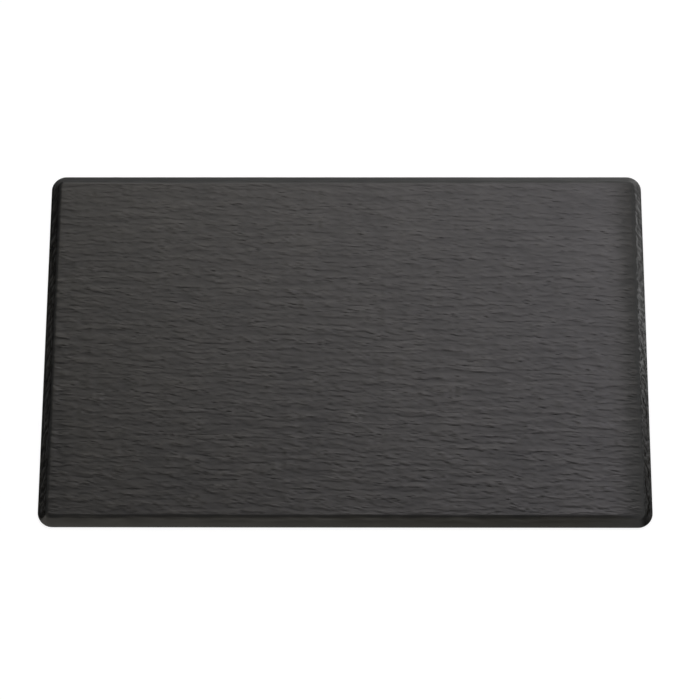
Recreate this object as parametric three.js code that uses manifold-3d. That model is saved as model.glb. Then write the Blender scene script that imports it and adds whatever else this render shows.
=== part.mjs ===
// Gastronorm 1/1 serving tray: a compression-moulded melamine shell with a slate-style bevelled edge,
// hollow underneath, standing on silicone anti-slip feet that are bonded into moulded seats.
// Millimetres, +Z up, long side along X. The origin is on the table, under the middle of the tray.
import * as THREE from "three";
import { mergeVertices } from "three/addons/utils/BufferGeometryUtils.js";
import Module from "manifold-3d";

const wasm = await Module();
wasm.setup();

// Driving dimensions of the moulded shell
const TRAY_LENGTH = 530; // Gastronorm 1/1 footprint, over the rim
const TRAY_WIDTH = 325;
const CORNER_RADIUS = 13; // plan radius of the rim
const BODY_HEIGHT = 9; // underside of the rim to the serving face
const LAND_HEIGHT = 1.5; // upright band below the bevel
const BEVEL_RUN = 7.5; // plan width of the bevelled edge
const PLATE_THICKNESS = 4;
const WALL_THICKNESS = 4; // square to the bevel
const SERVING_EDGE_RADIUS = 4; // bevel into serving face
const LAND_EDGE_RADIUS = 0.8; // bevel into upright band
const RIM_EDGE_RADIUS = 0.4; // trimmed lower edges of the rim
const CEILING_FILLET = 2; // hollow's wall into the underside of the plate

// Driving dimensions of the anti-slip feet and their seats
const FOOT_STANDOFF = 1; // table to the underside of the rim
const FOOT_DIAMETER = 13;
const FOOT_HEIGHT = 3;
const FOOT_EDGE_RADIUS = 0.7;
const FOOT_TAPER = 0.2; // the foot's sides draw in by this much from top to bottom
const ADHESIVE_THICKNESS = 0.4;
const ADHESIVE_MARGIN = 0.5; // adhesive stops short of the foot's edge
const SEAT_DEPTH = 0.8; // depth of the locating recess
const SEAT_CLEARANCE = 0.4; // all round the foot
const BOSS_WALL = 3; // ring of melamine round the recess
const BOSS_DRAFT = 1; // the boss widens by this much towards the plate
const BOSS_FILLET = 1.2;
const FOOT_END_INSET = 38; // foot centre from the tray's short ends
const FOOT_SIDE_INSET = 32; // foot centre from the tray's long sides

// Facet counts
const CORNER_STEPS = 10;
const ARC_STEPS = 4;
const ROUND_STEPS = 28;

// Levels worked out from the sizes above
const RIM_Z = FOOT_STANDOFF;
const SERVING_Z = RIM_Z + BODY_HEIGHT;
const CEILING_Z = SERVING_Z - PLATE_THICKNESS;
const BEVEL_FOOT_Z = RIM_Z + LAND_HEIGHT;
const SEAT_Z = FOOT_HEIGHT + ADHESIVE_THICKNESS;
const BOSS_Z = SEAT_Z - SEAT_DEPTH;
const SEAT_RADIUS = FOOT_DIAMETER / 2 + SEAT_CLEARANCE;

const melamine = new THREE.MeshStandardMaterial({ color: 0x403e3c, roughness: 0.55, metalness: 0 });
const silicone = new THREE.MeshStandardMaterial({ color: 0x232324, roughness: 0.8, metalness: 0 });
const adhesive = new THREE.MeshStandardMaterial({ color: 0xcfcabd, roughness: 0.5, metalness: 0 });

// An open outline through the corners [x, y, radius], with a tangent arc at each corner that has a radius
// and a sharp turn at the others. An arc is limited to half of the shorter side beside it.
function roundedOutline(corners) {
  const points = corners.map(([x, y]) => new THREE.Vector2(x, y));
  return points.flatMap((corner, i) => {
    const wantedRadius = corners[i][2];
    if (!wantedRadius) return [corner];
    const back = points[i - 1].clone().sub(corner);
    const onward = points[i + 1].clone().sub(corner);
    const room = Math.min(back.length(), onward.length()) / 2;
    back.normalize();
    onward.normalize();
    const halfAngle = Math.acos(back.dot(onward)) / 2;
    const radius = Math.min(wantedRadius, room * Math.tan(halfAngle));
    const reach = radius / Math.tan(halfAngle);
    const bisector = back.clone().add(onward).normalize();
    const centre = corner.clone().addScaledVector(bisector, radius / Math.sin(halfAngle));
    const from = corner.clone().addScaledVector(back, reach).sub(centre);
    const to = corner.clone().addScaledVector(onward, reach).sub(centre);
    const clockwise = from.cross(to) < 0;
    const arc = new THREE.EllipseCurve(centre.x, centre.y, radius, radius, from.angle(), to.angle(), clockwise);
    return arc.getPoints(ARC_STEPS);
  });
}

// The rim's plan outline drawn in by an inset, counter-clockwise from above, at a height. Its corners
// tighten as it draws in, and turn sharp where the inset uses up the radius.
function planRing(inset, z) {
  const halfLength = TRAY_LENGTH / 2 - inset;
  const halfWidth = TRAY_WIDTH / 2 - inset;
  const radius = Math.max(CORNER_RADIUS - inset, 0);
  const corners = [[1, 1], [-1, 1], [-1, -1], [1, -1]];
  return corners.flatMap(([sideX, sideY], quarter) =>
    Array.from({ length: CORNER_STEPS + 1 }, (_, step) => {
      const angle = (quarter + step / CORNER_STEPS) * (Math.PI / 2);
      const x = sideX * (halfLength - radius) + radius * Math.cos(angle);
      const y = sideY * (halfWidth - radius) + radius * Math.sin(angle);
      return new THREE.Vector3(x, y, z);
    }),
  );
}

// A closed skin through rings of equal counts, with a flat cap on the first ring and on the last.
function loft(rings) {
  const count = rings[0].length;
  const position = rings.flat().flatMap((point) => point.toArray());
  const index = [];
  for (let ring = 0; ring < rings.length - 1; ring++) {
    for (let side = 0; side < count; side++) {
      const a = ring * count + side;
      const b = ring * count + ((side + 1) % count);
      index.push(a, a + count, b, b, a + count, b + count);
    }
  }
  const outline = rings[0].map((point) => new THREE.Vector2(point.x, point.y));
  const lastRing = (rings.length - 1) * count;
  for (const [a, b, c] of THREE.ShapeUtils.triangulateShape(outline, [])) {
    index.push(a, b, c);
    index.push(lastRing + a, lastRing + c, lastRing + b);
  }
  const geometry = new THREE.BufferGeometry();
  geometry.setAttribute("position", new THREE.Float32BufferAttribute(position, 3));
  return geometry.setIndex(index);
}

// A turned solid standing on +Z, from a profile of [radius, z] that starts and ends on the axis.
function turned(profile) {
  return new THREE.LatheGeometry(profile, ROUND_STEPS).rotateX(Math.PI / 2);
}

// A closed geometry as a solid that can be joined and cut.
function solid(geometry) {
  const bare = geometry.clone();
  bare.deleteAttribute("normal");
  bare.deleteAttribute("uv");
  const merged = mergeVertices(bare);
  const vertProperties = Float32Array.from(merged.attributes.position.array);
  const triVerts = Uint32Array.from(merged.index.array);
  return new wasm.Manifold(new wasm.Mesh({ numProp: 3, vertProperties, triVerts }));
}

// A solid back as a geometry with flat-shaded faces.
function geometryOf(body) {
  const { vertProperties, triVerts } = body.getMesh();
  const geometry = new THREE.BufferGeometry();
  geometry.setAttribute("position", new THREE.BufferAttribute(vertProperties, 3));
  geometry.setIndex(new THREE.BufferAttribute(triVerts, 1));
  const flat = geometry.toNonIndexed();
  flat.computeVertexNormals();
  return flat;
}

// Section of the shell as [inset from the rim, height], from the serving face over the bevel and round
// the rim to the underside of the plate. The hollow's wall runs parallel to the bevel.
function shellSection() {
  const bevelDrop = SERVING_Z - BEVEL_FOOT_Z;
  const wallShift = (WALL_THICKNESS * Math.hypot(BEVEL_RUN, bevelDrop)) / bevelDrop;
  const wallInset = (z) => (BEVEL_RUN * (z - BEVEL_FOOT_Z)) / bevelDrop + wallShift;
  return roundedOutline([
    [BEVEL_RUN + SERVING_EDGE_RADIUS, SERVING_Z],
    [BEVEL_RUN, SERVING_Z, SERVING_EDGE_RADIUS],
    [0, BEVEL_FOOT_Z, LAND_EDGE_RADIUS],
    [0, RIM_Z, RIM_EDGE_RADIUS],
    [wallInset(RIM_Z), RIM_Z, RIM_EDGE_RADIUS],
    [wallInset(CEILING_Z), CEILING_Z, CEILING_FILLET],
    [wallInset(CEILING_Z) + CEILING_FILLET, CEILING_Z],
  ]);
}

// Boss that carries one foot: it hangs from the plate and flares into it with a fillet.
function bossGeometry() {
  const faceRadius = SEAT_RADIUS + BOSS_WALL;
  const rootRadius = faceRadius + BOSS_DRAFT;
  const rooted = CEILING_Z + PLATE_THICKNESS / 2;
  const flare = roundedOutline([
    [faceRadius, BOSS_Z],
    [rootRadius, CEILING_Z, BOSS_FILLET],
    [rootRadius + BOSS_FILLET, CEILING_Z],
  ]);
  const outerRadius = flare[flare.length - 1].x;
  return turned([
    new THREE.Vector2(0, BOSS_Z),
    ...flare,
    new THREE.Vector2(outerRadius, rooted),
    new THREE.Vector2(0, rooted),
  ]);
}

// Tool that cuts the locating recess into a boss, from below.
function recessGeometry() {
  const below = BOSS_Z - SEAT_DEPTH;
  return turned([
    new THREE.Vector2(0, below),
    new THREE.Vector2(SEAT_RADIUS, below),
    new THREE.Vector2(SEAT_RADIUS, SEAT_Z),
    new THREE.Vector2(0, SEAT_Z),
  ]);
}

// Silicone foot: a flat-bottomed disc with a rounded lower edge, standing on the table.
function footGeometry() {
  const topRadius = FOOT_DIAMETER / 2;
  const soleRadius = topRadius - FOOT_TAPER;
  return turned(
    roundedOutline([
      [0, 0],
      [soleRadius, 0, FOOT_EDGE_RADIUS],
      [topRadius, FOOT_HEIGHT],
      [0, FOOT_HEIGHT],
    ]),
  );
}

// Double-sided disc between the foot and the floor of its recess.
function adhesiveGeometry() {
  const radius = FOOT_DIAMETER / 2 - ADHESIVE_MARGIN;
  return turned([
    new THREE.Vector2(0, FOOT_HEIGHT),
    new THREE.Vector2(radius, FOOT_HEIGHT),
    new THREE.Vector2(radius, SEAT_Z),
    new THREE.Vector2(0, SEAT_Z),
  ]);
}

// Where the feet stand: three along each long side.
function footPlaces() {
  const reachX = TRAY_LENGTH / 2 - FOOT_END_INSET;
  const reachY = TRAY_WIDTH / 2 - FOOT_SIDE_INSET;
  const columns = { left: -reachX, middle: 0, right: reachX };
  const rows = { front: -reachY, back: reachY };
  return Object.entries(rows).flatMap(([row, y]) =>
    Object.entries(columns).map(([column, x]) => ({ name: `${row}_${column}`, x, y })),
  );
}

function trayBody(places) {
  let shell = solid(loft(shellSection().map(({ x: inset, y: z }) => planRing(inset, z))));
  const boss = solid(bossGeometry());
  const recess = solid(recessGeometry());
  for (const { x, y } of places) {
    shell = shell.add(boss.translate([x, y, 0])).subtract(recess.translate([x, y, 0]));
  }
  const mesh = new THREE.Mesh(geometryOf(shell), melamine);
  mesh.name = "tray_body";
  return mesh;
}

// One foot and its adhesive disc, in a group that stands where the foot does.
function footAssembly({ name, x, y }) {
  const foot = new THREE.Mesh(footGeometry(), silicone);
  foot.name = `foot_${name}`;
  const disc = new THREE.Mesh(adhesiveGeometry(), adhesive);
  disc.name = `foot_adhesive_${name}`;
  const group = new THREE.Group().add(foot, disc);
  group.position.set(x, y, 0);
  return group;
}

const places = footPlaces();
const tray = new THREE.Group();
tray.name = "melamine_tray";
tray.add(trayBody(places), ...places.map(footAssembly));

export default tray;
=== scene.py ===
"""Visual model of a slate-look melamine serving tray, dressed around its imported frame.

The shell is one closed skin: a riven serving face, a rounded and bevelled edge, the rim, and a hollow
underside with six bosses. An adhesive disc holds a silicone foot in each boss. Metres, +Z up.
"""
import logging
import math
from dataclasses import dataclass, field
from enum import Enum

import bpy
import numpy as np
from mathutils import Matrix, Vector


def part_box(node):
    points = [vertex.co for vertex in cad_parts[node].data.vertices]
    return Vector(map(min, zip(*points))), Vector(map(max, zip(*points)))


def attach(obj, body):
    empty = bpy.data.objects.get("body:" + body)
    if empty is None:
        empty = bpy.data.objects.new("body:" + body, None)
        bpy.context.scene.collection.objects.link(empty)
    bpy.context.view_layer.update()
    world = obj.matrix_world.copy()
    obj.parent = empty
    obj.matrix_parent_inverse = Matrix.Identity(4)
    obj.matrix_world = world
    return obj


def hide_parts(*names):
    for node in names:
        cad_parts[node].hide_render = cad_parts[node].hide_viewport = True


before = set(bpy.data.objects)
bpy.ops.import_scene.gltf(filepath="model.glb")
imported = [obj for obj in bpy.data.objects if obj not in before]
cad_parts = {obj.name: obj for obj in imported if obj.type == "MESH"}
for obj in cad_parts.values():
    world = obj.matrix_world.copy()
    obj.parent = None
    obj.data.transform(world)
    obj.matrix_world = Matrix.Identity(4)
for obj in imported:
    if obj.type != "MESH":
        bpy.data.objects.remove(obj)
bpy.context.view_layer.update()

BODY = "root"
MM = 0.001
PLAIN_RELIEF = 0.55  # relief value of a plain moulded surface
FLOOR_GAP = 0.5 * MM  # between the floor and the flags that lie on it
NOISE_RANGE = (0.3, 0.7)  # where nearly all values of a noise texture lie
LOG = logging.getLogger("tray")
Pair = tuple[float, float]
Triple = tuple[float, float, float]


class FootRow(Enum):
    """Long side of the tray that a foot stands along."""

    FRONT = "front"
    BACK = "back"


class FootColumn(Enum):
    """Place of a foot along its long side."""

    LEFT = "left"
    MIDDLE = "middle"
    RIGHT = "right"


class Layer(Enum):
    """Noise layers of the riven relief, each with a seed of its own."""

    WANDER = 0
    STROKE = 1
    LONG_STROKE = 2
    SHORT_STROKE = 3
    CUT = 4
    PATCH = 5
    STRAND = 6
    CHIP = 7
    WAVE = 8
    RIPPLE = 9


class Facing(Enum):
    """Direction that a studio panel faces."""

    UP = (0.0, 0.0, 1.0)
    DOWN = (0.0, 0.0, -1.0)
    RIGHT = (1.0, 0.0, 0.0)
    LEFT = (-1.0, 0.0, 0.0)
    BACK = (0.0, 1.0, 0.0)
    FRONT = (0.0, -1.0, 0.0)


class Light(Enum):
    """How a studio panel takes part: it lights the tray, or it only shows in its gloss."""

    LAMP = "lamp"
    GLOSS = "gloss"


def smooth_step(low: float, high: float, value: np.ndarray) -> np.ndarray:
    """Cubic ramp from 0 at or below `low` to 1 at or above `high`.

    Args:
        low: Value at which the ramp starts.
        high: Value at which it ends.
        value: Values to map.

    Returns:
        The ramp at each value.
    """
    part = np.clip((value - low) / (high - low), 0.0, 1.0)
    return part * part * (3.0 - 2.0 * part)


def by_end(pair: Pair, x: np.ndarray) -> np.ndarray:
    """The first value of a pair on the tray's left half, and the second on its right half."""
    return np.where(x > 0.0, pair[1], pair[0])


@dataclass(frozen=True)
class GradientNoise:
    """Smooth random field over a plane, about -1 to 1, which repeats after `lattice` cells."""

    seed: int
    lattice: int = 512
    gain: float = 1.5  # brings the blended slopes to about -1 to 1

    def at(self, across: np.ndarray, along: np.ndarray) -> np.ndarray:
        """Blends the slopes at the four lattice corners round each point by a quintic fade.

        Args:
            across: First coordinate of the points, in lattice cells.
            along: Second coordinate, in lattice cells.

        Returns:
            Field values in the shape of the points.
        """
        turns = np.random.default_rng(self.seed).uniform(0.0, 2.0 * math.pi, (self.lattice, self.lattice))
        cell_a, cell_b = np.floor(across).astype(int), np.floor(along).astype(int)
        part_a, part_b = across - cell_a, along - cell_b
        corners = []
        for step_a, step_b in ((0, 0), (1, 0), (0, 1), (1, 1)):
            turn = turns[(cell_b + step_b) % self.lattice, (cell_a + step_a) % self.lattice]
            corners.append(np.cos(turn) * (part_a - step_a) + np.sin(turn) * (part_b - step_b))
        fade_a, fade_b = (part**3 * (part * (6.0 * part - 15.0) + 10.0) for part in (part_a, part_b))
        near = corners[0] + fade_a * (corners[1] - corners[0])
        far = corners[2] + fade_a * (corners[3] - corners[2])
        return self.gain * (near + fade_b * (far - near))


@dataclass(frozen=True)
class RivenRelief:
    """Riven slate surface: braided strokes and fine cuts nearly along the tray, and chips on its short ends.

    A stroke is steeper on the side that faces the front. Strokes are deeper at the front and near the short
    ends, and they ease towards the back, as the chips do.
    """

    depth: float = 0.313 * MM  # highest crests to the deepest cuts at the front, away from the ends
    stroke_length: float = 10.4 * MM
    stroke_width: float = 3.2 * MM
    lean: float = 0.024  # fall of a stroke towards the front, per length to the right
    wander: float = 1.5 * MM
    wander_cell: Pair = (67.6 * MM, 11.8 * MM)
    steepness: float = 0.38  # how far a stroke's front slope is steeper than its back slope
    long_cell: Pair = (0.182, 0.72)  # lattice cells per stroke cell, along and across
    short_cell: Pair = (1.652, 1.342)
    cut_cell: Pair = (1.29, 0.853)
    patch_cell: Pair = (0.6, 0.5)
    shares: Triple = (1.1, 0.5, 1.41)  # of long strokes, short strokes and cuts
    cut_sharpness: float = 0.293
    cut_steepness: float = 0.13
    patchiness: float = 1.06  # how far the cuts come and go from patch to patch
    heights: Pair = (-0.95, 2.15)  # summed noise at the deepest cuts and the highest crests
    middle_depth: float = 0.87  # share of the depth half way to the back
    ease: float = 0.9  # share of the depth lost per metre towards the back
    end_gain: Pair = (0.7, 1.25)  # share of the depth gained towards the left and right ends
    end_ease: float = 3.5  # share of that gain lost per metre towards the back
    end_start: Pair = (236.0 * MM, 257.0 * MM)  # where the gain sets in and where it is full
    lump_depth: Pair = (0.85 * MM, 0.95 * MM)  # strands on the left and right ends' bevels
    lump_ease: float = 3.2  # share of their depth lost per metre from the middle to the back
    lump_pitch: Pair = (11.0 * MM, 7.5 * MM)
    lump_length: Pair = (10.0 * MM, 8.0 * MM)
    lump_lean: Pair = (3.0, 1.1)  # run along an end, per run outwards
    lump_sharpness: float = 0.34
    lump_apart: float = 100.0  # lattice cells between the two ends' noises
    chip_cell: Pair = (1.5, 1.5)  # lattice cells per strand cell
    crest_mix: Triple = (0.15, 0.7, 0.7)  # left end: floor, crests, chips on the crests
    groove_mix: Triple = (0.2, 0.75, 0.25)  # right end: floor, lands, chips all over
    wave_depth: float = 0.45 * MM  # slow waves on the upper edge, all round
    wave_pitch: Pair = (24.0 * MM, 6.0 * MM)  # along and across the tray
    ripple_pitch: Pair = (24.0 / 2.7 * MM, 2.88 * MM)
    ripple_share: float = 0.5
    wave_range: Pair = (0.5, 0.6)  # middle of the waves, and their reach for a noise of 1
    side_strokes: float = 0.4  # share of the strokes' depth that runs on over the long sides' bevels
    slope_step: float = 0.05 * MM  # half the run over which slopes are taken
    seed: int = 11

    def noise(self, layer: Layer, along: np.ndarray, across: np.ndarray,
              cell: Pair = (1.0, 1.0)) -> np.ndarray:
        """One of the relief's noise layers, with `cell` lattice cells to one unit of the places."""
        return GradientNoise(self.seed + layer.value).at(along * cell[0], across * cell[1])

    def cuts(self, run: np.ndarray, lane: np.ndarray) -> np.ndarray:
        """Narrow grooves along the zero lines of a noise: one minus an exponential of its size.

        Args:
            run: Place along the strokes, in stroke lengths.
            lane: Place across them, in stroke widths.

        Returns:
            Cut height, 0 on a groove's line and rising to 1 beside it.
        """
        size = np.abs(self.noise(Layer.CUT, run, lane, self.cut_cell))
        return 1.0 - np.exp(-size / self.cut_sharpness)

    def strokes(self, x: np.ndarray, y: np.ndarray) -> np.ndarray:
        """Layers of noise stretched along the tray, on lanes that wander and lean.

        A lane is moved by the height of its own noise, so that a function h of the lane becomes h of the
        lane plus a share of h: slopes that face the front grow steeper, and slopes that face the back ease.

        Args:
            x: Place along the tray, in metres.
            y: Place across the tray, in metres.

        Returns:
            Stroke height, 1 on the highest crests and 0 one depth below them.
        """
        slow = self.noise(Layer.WANDER, x / self.wander_cell[0], y / self.wander_cell[1])
        lane = (y + self.lean * x + self.wander * slow) / self.stroke_width
        run = x / self.stroke_length
        patches = self.patchiness * self.noise(Layer.PATCH, run, lane, self.patch_cell)
        patches = np.clip(0.5 + patches, 0.0, 1.0)
        lane = lane + self.steepness * self.noise(Layer.STROKE, run, lane)
        height = self.noise(Layer.STROKE, run, lane)
        height += self.shares[0] * self.noise(Layer.LONG_STROKE, run, lane, self.long_cell)
        height += self.shares[1] * self.noise(Layer.SHORT_STROKE, run, lane, self.short_cell)
        cuts = self.cuts(run, lane + self.cut_steepness * self.cuts(run, lane))
        height += self.shares[2] * patches * cuts
        low, high = self.heights
        cut = 1.0 - np.clip((height - low) / (high - low), 0.0, 1.0)
        gain = by_end(self.end_gain, x) * (1.0 - self.end_ease * y)
        gain = 1.0 + gain * smooth_step(*self.end_start, np.abs(x))
        return 1.0 - cut * gain * (self.middle_depth - self.ease * y)

    def normals(self, x: np.ndarray, y: np.ndarray) -> np.ndarray:
        """Unit normals of the riven face, from the strokes' slopes along x and y.

        Args:
            x: Place along the tray, in metres.
            y: Place across the tray, in metres.

        Returns:
            Normals, with a last axis of 3 after the shape of the places.
        """
        step = self.slope_step
        slope_x = self.depth * (self.strokes(x + step, y) - self.strokes(x - step, y)) / (2.0 * step)
        slope_y = self.depth * (self.strokes(x, y + step) - self.strokes(x, y - step)) / (2.0 * step)
        normal = np.stack([-slope_x, -slope_y, np.ones_like(slope_x)], axis=-1)
        return normal / np.linalg.norm(normal, axis=-1, keepdims=True)

    def lumps(self, x: np.ndarray, y: np.ndarray) -> np.ndarray:
        """Chipped strands that run outwards and to the front on both short ends.

        The zero lines of a noise on a diagonal coordinate are crests on the left end and grooves on the
        right, by an exponential of the noise's size. A finer noise breaks them.

        Args:
            x: Place along the tray, in metres.
            y: Place across the tray, in metres.

        Returns:
            Strand height, from 0 in the deepest grooves to 1 on the crests.
        """
        pairs = (self.lump_lean, self.lump_pitch, self.lump_length, (0.0, self.lump_apart))
        lean, pitch, length, apart = (by_end(pair, x) for pair in pairs)
        across = (y + lean * np.abs(x)) / pitch + apart
        along = (lean * y - np.abs(x)) / (length * np.hypot(1.0, lean))
        lines = np.exp(-np.abs(self.noise(Layer.STRAND, across, along)) / self.lump_sharpness)
        chips = self.noise(Layer.CHIP, across, along, self.chip_cell)
        floor, crest, chipped = self.crest_mix
        left = floor + lines * (crest + chipped * chips)
        floor, land, chipped = self.groove_mix
        right = floor + land * (1.0 - lines) + chipped * chips
        return np.clip(np.where(x > 0.0, right, left), 0.0, 1.0)

    def lump_cut(self, x: np.ndarray, y: np.ndarray, lumps: np.ndarray) -> np.ndarray:
        """Depth of the cuts between the strands, which grow shallower in the back half.

        Args:
            x: Place along the tray, in metres.
            y: Place across the tray, in metres.
            lumps: Strand height there.

        Returns:
            The depth below the strands' crests, in metres.
        """
        depth = by_end(self.lump_depth, x)
        return depth * (1.0 - self.lump_ease * np.maximum(y, 0.0)) * (1.0 - lumps)

    def waves(self, x: np.ndarray, y: np.ndarray) -> np.ndarray:
        """Slow waves along the upper edge, all round: a noise with a share of a finer one.

        Args:
            x: Place along the tray, in metres.
            y: Place across the tray, in metres.

        Returns:
            Wave height, from 0 to 1.
        """
        wave = self.noise(Layer.WAVE, x / self.wave_pitch[0], y / self.wave_pitch[1])
        ripple = self.noise(Layer.RIPPLE, x / self.ripple_pitch[0], y / self.ripple_pitch[1])
        middle, reach = self.wave_range
        return np.clip(middle + reach * (wave + self.ripple_share * ripple), 0.0, 1.0)


@dataclass(frozen=True)
class Corner:
    """Corner of a section: its place, and the radius and steps of the arc that rounds it."""

    across: float
    z: float
    radius: float = 0.0
    steps: int = 4


def rounded_section(corners: list[Corner]) -> np.ndarray:
    """Section line through corners, each rounded by an arc that is tangent to both its sides.

    Args:
        corners: Corners in order; the first and the last have no radius.

    Returns:
        Points of the section as rows of (across, z).
    """
    places = np.array([[corner.across, corner.z] for corner in corners])
    pieces = []
    for index, corner in enumerate(corners):
        here = places[index]
        if corner.radius == 0.0:
            pieces.append(here[None, :])
            continue
        back = (places[index - 1] - here) / np.linalg.norm(places[index - 1] - here)
        onward = (places[index + 1] - here) / np.linalg.norm(places[index + 1] - here)
        half = 0.5 * math.acos(float(back @ onward))
        bisector = (back + onward) / np.linalg.norm(back + onward)
        centre = here + bisector * corner.radius / math.sin(half)
        start = here + back * corner.radius / math.tan(half) - centre
        end = here + onward * corner.radius / math.tan(half) - centre
        turn = math.atan2(start[0] * end[1] - start[1] * end[0], float(start @ end))
        angle = np.linspace(0.0, turn, corner.steps + 1)[:, None]
        pieces.append(centre + np.cos(angle) * start + np.sin(angle) * np.array([-start[1], start[0]]))
    return np.concatenate(pieces)


def circle(centre: np.ndarray, radius: float, z: float, turns: np.ndarray) -> np.ndarray:
    """Level circle: the centre plus the radius times the cosine and the sine of each turn.

    Args:
        centre: The circle's axis in plan.
        radius: Its radius.
        z: Its height.
        turns: Bearings of its points.

    Returns:
        Rows of x, y and z.
    """
    plan = centre + radius * np.stack([np.cos(turns), np.sin(turns)], axis=1)
    return np.column_stack([plan, np.full(len(turns), z)])


@dataclass
class Skin:
    """One closed skin in the making: its points with their relief values and normals, and its faces."""

    points: list[np.ndarray] = field(default_factory=list)
    relief: list[np.ndarray] = field(default_factory=list)
    normals: list[np.ndarray] = field(default_factory=list)
    faces: list[np.ndarray] = field(default_factory=list)
    count: int = 0

    def add(self, points: np.ndarray, relief: np.ndarray | float,
            normals: np.ndarray | None = None) -> np.ndarray:
        """Adds points to the skin.

        Args:
            points: Rows of x, y and z.
            relief: Relief value, about 0 in a stroke and 1 on a crest, for each point or for all.
            normals: Rows of normals that are known exactly, zero where the faces give them; or none.

        Returns:
            The points' indices.
        """
        self.points.append(points)
        self.relief.append(np.broadcast_to(relief, len(points)))
        self.normals.append(np.zeros_like(points) if normals is None else normals)
        self.count += len(points)
        return np.arange(self.count - len(points), self.count)

    def places(self, indices: np.ndarray) -> np.ndarray:
        """Points at the given indices, as rows of x, y and z."""
        return np.concatenate(self.points)[indices]

    def sheet(self, grid: np.ndarray) -> None:
        """Four-sided faces over a grid whose rows run along +X and follow each other to +Y.

        A face starts at its front right corner, so that its diagonal falls to the right as the strokes do.

        Args:
            grid: Indices of the points.
        """
        cells = [grid[:-1, 1:], grid[1:, 1:], grid[1:, :-1], grid[:-1, :-1]]
        self.faces.append(np.stack([cell.ravel() for cell in cells], axis=1))

    def band(self, ring: np.ndarray, onward: np.ndarray) -> None:
        """Four-sided faces from one closed ring to the next one along the section, of equal counts."""
        self.faces.append(np.stack([ring, onward, np.roll(onward, -1), np.roll(ring, -1)], axis=1))

    def weave(self, ring: np.ndarray, places: np.ndarray, onward: np.ndarray, onward_places: np.ndarray,
              period: float) -> None:
        """Triangles between two closed rings of different counts.

        Each edge of a ring closes on the point that the other ring has reached by then: the number of that
        ring's edges whose middles come before the edge's own.

        Args:
            ring: Indices of the first ring.
            places: How far round the loop its points lie, rising.
            onward: Indices of the next ring along the section.
            onward_places: How far round those lie, from the same start.
            period: How far round the loop closes.
        """
        middle = 0.5 * (places + np.append(places[1:], places[0] + period))
        onward_middle = 0.5 * (onward_places + np.append(onward_places[1:], onward_places[0] + period))
        reached = onward[np.searchsorted(onward_middle, middle) % len(onward)]
        self.faces.append(np.stack([ring, reached, np.roll(ring, -1)], axis=1))
        reached = ring[np.searchsorted(middle, onward_middle, side="right") % len(ring)]
        self.faces.append(np.stack([reached, onward, np.roll(onward, -1)], axis=1))

    def carry(self, loop: np.ndarray, places: np.ndarray, rings: list[np.ndarray],
              onward_places: np.ndarray, period: float) -> np.ndarray:
        """Goes from a closed loop by a weave to the first of some plain rings, then by bands to the last.

        Args:
            loop: Indices of the loop.
            places: How far round it its points lie, rising.
            rings: Points of the rings, of equal counts, along the section.
            onward_places: How far round the rings' points lie, from the same start.
            period: How far round the loop closes.

        Returns:
            Indices of the last ring.
        """
        indices = [self.add(points, PLAIN_RELIEF) for points in rings]
        self.weave(loop, places, indices[0], onward_places, period)
        for ring, onward in zip(indices[:-1], indices[1:]):
            self.band(ring, onward)
        return indices[-1]

    def close(self, ring: np.ndarray, centre: np.ndarray) -> None:
        """Triangles from a plain closed ring to one point in its middle.

        Args:
            ring: Indices of the ring.
            centre: The middle point's x, y and z.
        """
        pole = self.add(centre[None, :], PLAIN_RELIEF)
        self.faces.append(np.stack([ring, np.repeat(pole, len(ring)), np.roll(ring, -1)], axis=1))

    def piece(self, name: str) -> bpy.types.Object:
        """Makes the skin a smooth-shaded object whose points carry the relief as the attribute `riven`.

        Args:
            name: Name of the piece.

        Returns:
            The object, at the origin and in the scene.
        """
        mesh = bpy.data.meshes.new(name)
        faces = [face for group in self.faces for face in group.tolist()]
        mesh.from_pydata(np.concatenate(self.points).tolist(), [], faces)
        riven = mesh.attributes.new("riven", "FLOAT", "POINT")
        riven.data.foreach_set("value", np.concatenate(self.relief).astype(np.float32))
        mesh.shade_smooth()
        mesh.validate()
        mesh.update()
        normals = np.concatenate(self.normals)
        if normals.any():
            mesh.normals_split_custom_set_from_vertices(normals.tolist())
        piece = bpy.data.objects.new(name, mesh)
        bpy.context.scene.collection.objects.link(piece)
        return piece


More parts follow.
